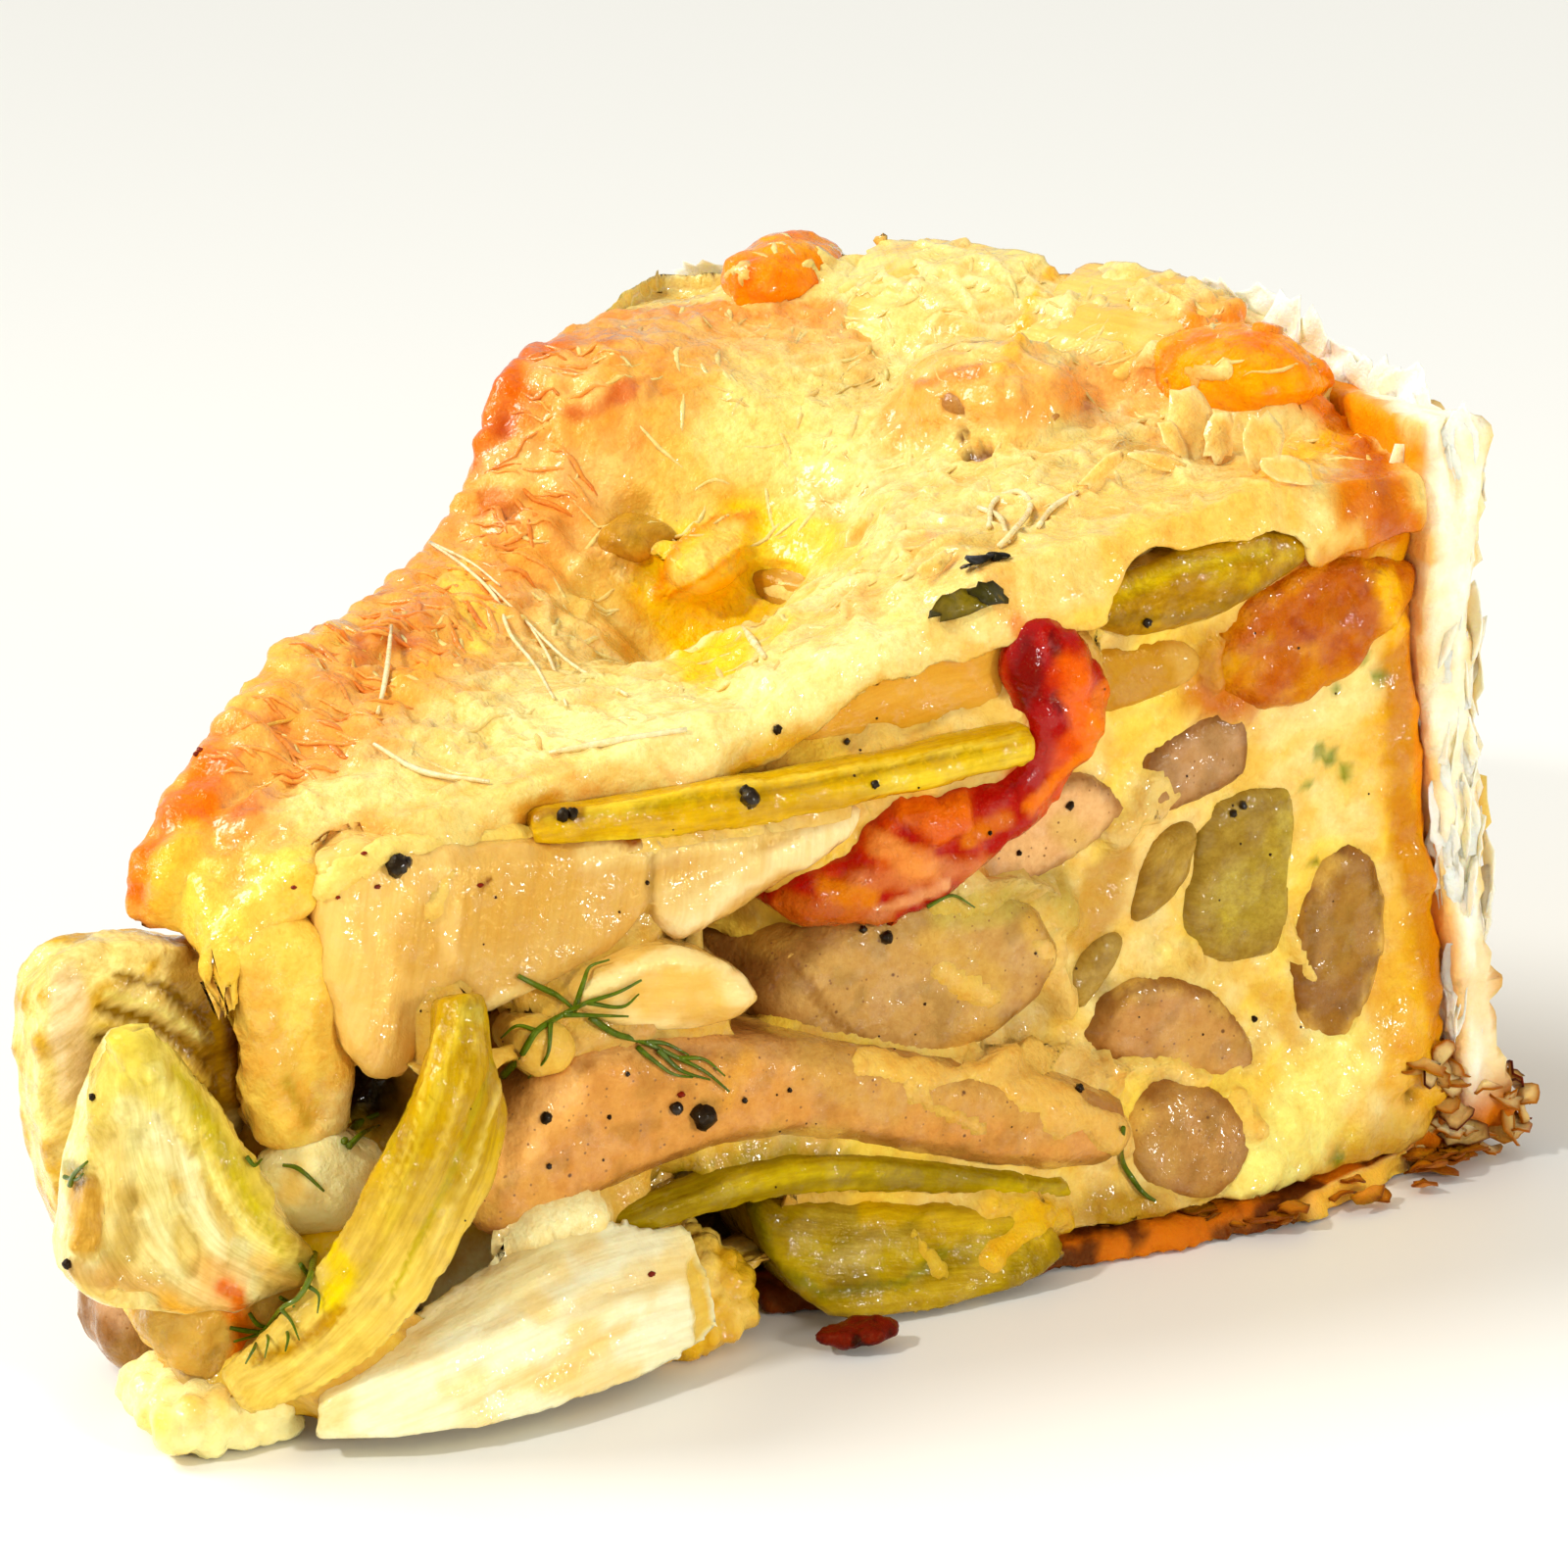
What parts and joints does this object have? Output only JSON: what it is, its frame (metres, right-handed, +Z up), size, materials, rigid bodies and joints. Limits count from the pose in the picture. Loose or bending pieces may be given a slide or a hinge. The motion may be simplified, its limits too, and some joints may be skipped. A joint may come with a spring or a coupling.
{
  "type": "slice of sausage quiche",
  "caption": "Deep wedge of sausage, fennel and tomato quiche with set custard, melted cheese on top and a thin pastry base and back wall.",
  "frame": {"origin": "middle of the slice's box, at the height of the flat base it rests on", "axes": "+X from the pointed tip to the crust along the slice's middle line, +Y towards the back cut, +Z up"},
  "size_m": [0.1337, 0.0968, 0.072],
  "materials": {
    "custard": "soft set egg custard, satin",
    "cheese": "melted cheese, oily satin with browned patches",
    "pastry": "dry flaky pastry, pale with browned edges",
    "sausage": "cooked sausage meat, satin",
    "fennel_pale": "cooked fennel bulb, moist and translucent",
    "fennel_green": "cooked fennel stalk, moist and fibrous",
    "tomato": "roast tomato, wet",
    "browned": "browned oily egg, wet",
    "egg": "set egg, soft satin"
  },
  "bodies": {
    "root": {"pastry_case": "pastry", "crust_flake": "pastry", "custard": "custard", "melted_cheese": "cheese", "cheese_drip": "cheese", "sausage_round_big": "sausage", "sausage_round_mid": "sausage", "sausage_round_low": "sausage", "sausage_oval": "sausage", "sausage_long": "sausage", "sausage_upper_left": "sausage", "sausage_upper_right": "sausage", "sausage_tip": "sausage", "sausage_top": "sausage", "fennel_large": "fennel_pale", "fennel_bulb_top": "fennel_pale", "fennel_bulb_right": "fennel_pale", "fennel_almond": "fennel_pale", "fennel_knob": "fennel_pale", "fennel_layer_lower": "fennel_pale", "fennel_back_left": "fennel_pale", "fennel_back_right": "fennel_pale", "onion_slice": "fennel_pale", "fennel_block": "fennel_green", "fennel_wedge": "fennel_green", "fennel_bit": "fennel_green", "fennel_stalk_top": "fennel_green", "fennel_stalk_yellow": "fennel_green", "fennel_stalk_green": "fennel_green", "fennel_stalk_curved": "fennel_green", "fennel_left": "fennel_green", "fennel_far_left": "fennel_green", "fennel_lower": "fennel_green", "fennel_speck": "fennel_green", "tomato_cut": "tomato", "tomato_top_left": "tomato", "tomato_top_right": "tomato", "browned_corner": "browned", "custard_spill": "browned", "egg_white": "egg", "egg_yolk": "egg", "custard_foot": "egg", "egg_crumble": "egg"}
  },
  "joints": []
}
